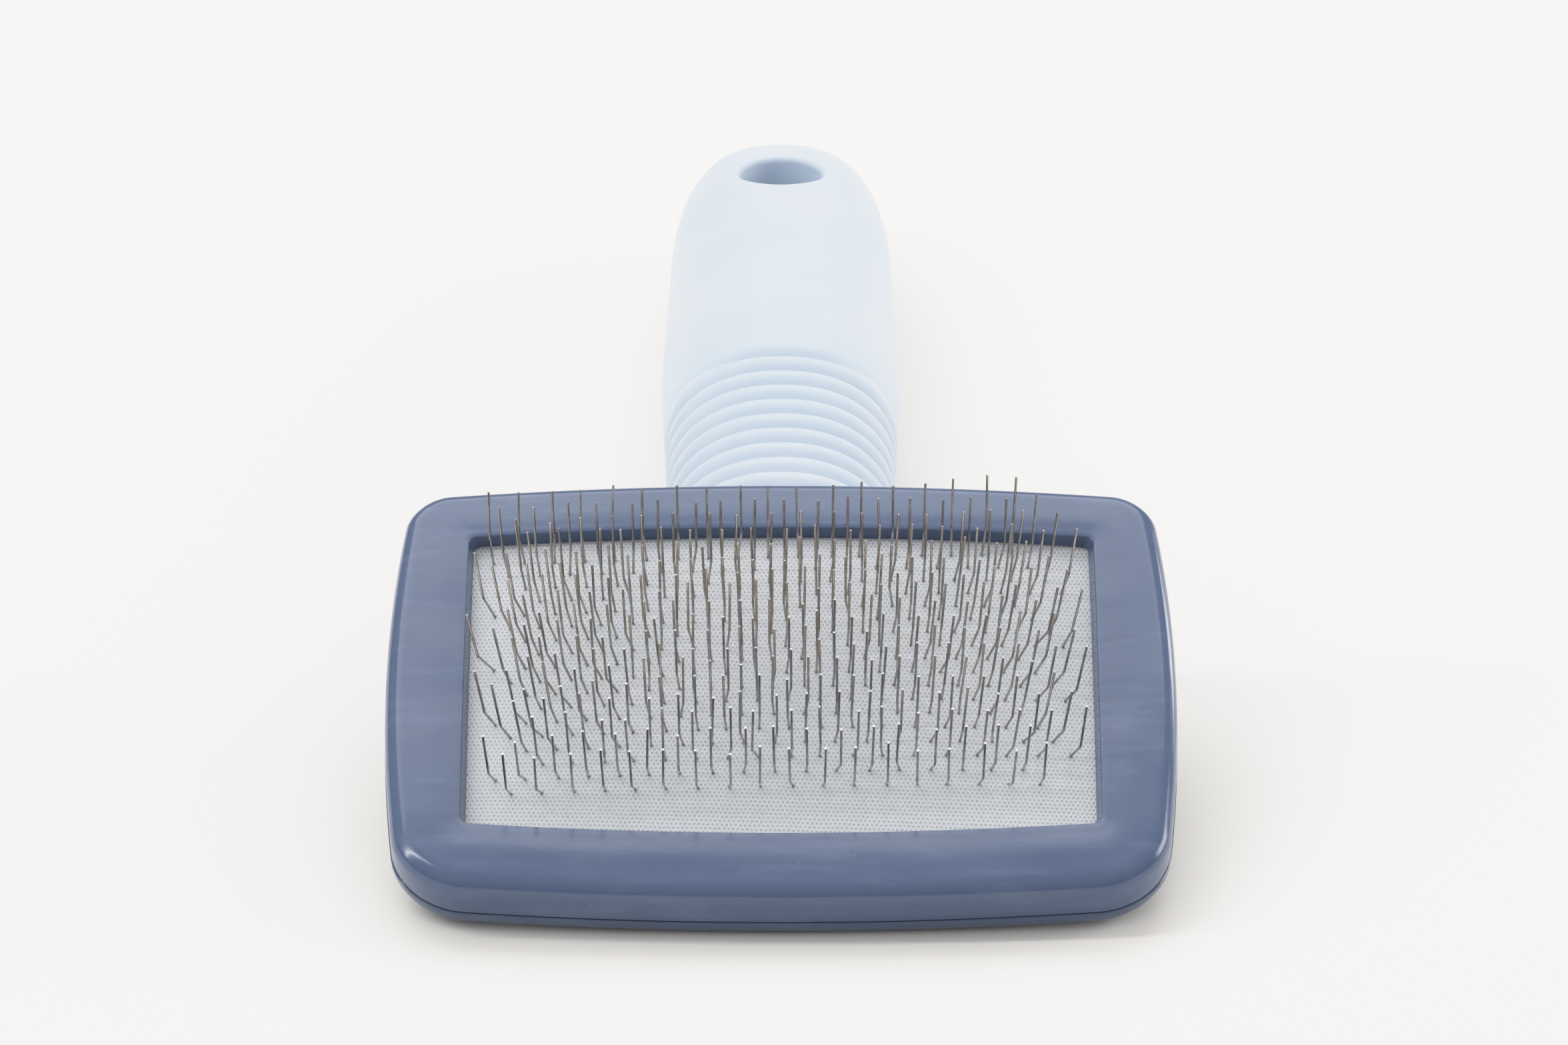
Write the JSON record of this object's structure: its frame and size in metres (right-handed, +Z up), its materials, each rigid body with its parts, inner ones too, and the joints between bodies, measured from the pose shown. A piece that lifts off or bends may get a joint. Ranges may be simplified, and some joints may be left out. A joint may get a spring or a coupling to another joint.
{
  "type": "slicker brush",
  "caption": "Pet slicker brush: framed cushion pad of fine bent wire pins on a tilted rectangular head, with a ribbed soft-grip handle and a hang hole.",
  "frame": {"origin": "on the surface the brush lies on, under the middle of its bounding box", "axes": "+Z up with the pins up, +Y from the head's front edge to the handle's tip, X across the head"},
  "size_m": [0.1022, 0.1958, 0.0356],
  "materials": {
    "bezel_plastic": "slate blue moulded polypropylene, satin gloss, light scuffs",
    "shell_plastic": "darker slate blue moulded polypropylene",
    "grip_rubber": "pale blue soft-touch thermoplastic rubber, matt",
    "cloth": "pale blue-grey woven cotton facing",
    "ply_rubber": "grey vulcanised rubber",
    "foam": "off-white closed-cell foam",
    "wire": "drawn steel wire with bright cut ends"
  },
  "bodies": {
    "housing": {"bezel": "bezel_plastic", "back_shell": "shell_plastic", "grip": "grip_rubber", "foam_cushion": "foam"},
    "pin_pad": {"face_cloth": "cloth", "rubber_ply": "ply_rubber", "pin_row_01": "wire", "pin_row_02": "wire", "pin_row_03": "wire", "pin_row_04": "wire", "pin_row_05": "wire", "pin_row_06": "wire", "pin_row_07": "wire", "pin_row_08": "wire", "pin_row_09": "wire", "pin_row_10": "wire", "pin_row_11": "wire", "pin_row_12": "wire", "pin_row_13": "wire", "pin_row_14": "wire", "pin_row_15": "wire", "pin_row_16": "wire", "pin_row_17": "wire", "pin_row_18": "wire"}
  },
  "joints": [
    {"name": "pad_press", "type": "slide", "parent": "housing", "child": "pin_pad", "axis": [0, -0.342, 0.9397], "range_m": [-0.0012, 0], "stiffness_N_per_m": 1500, "springref_m": 0.002, "deforming": ["foam_cushion"]}
  ]
}
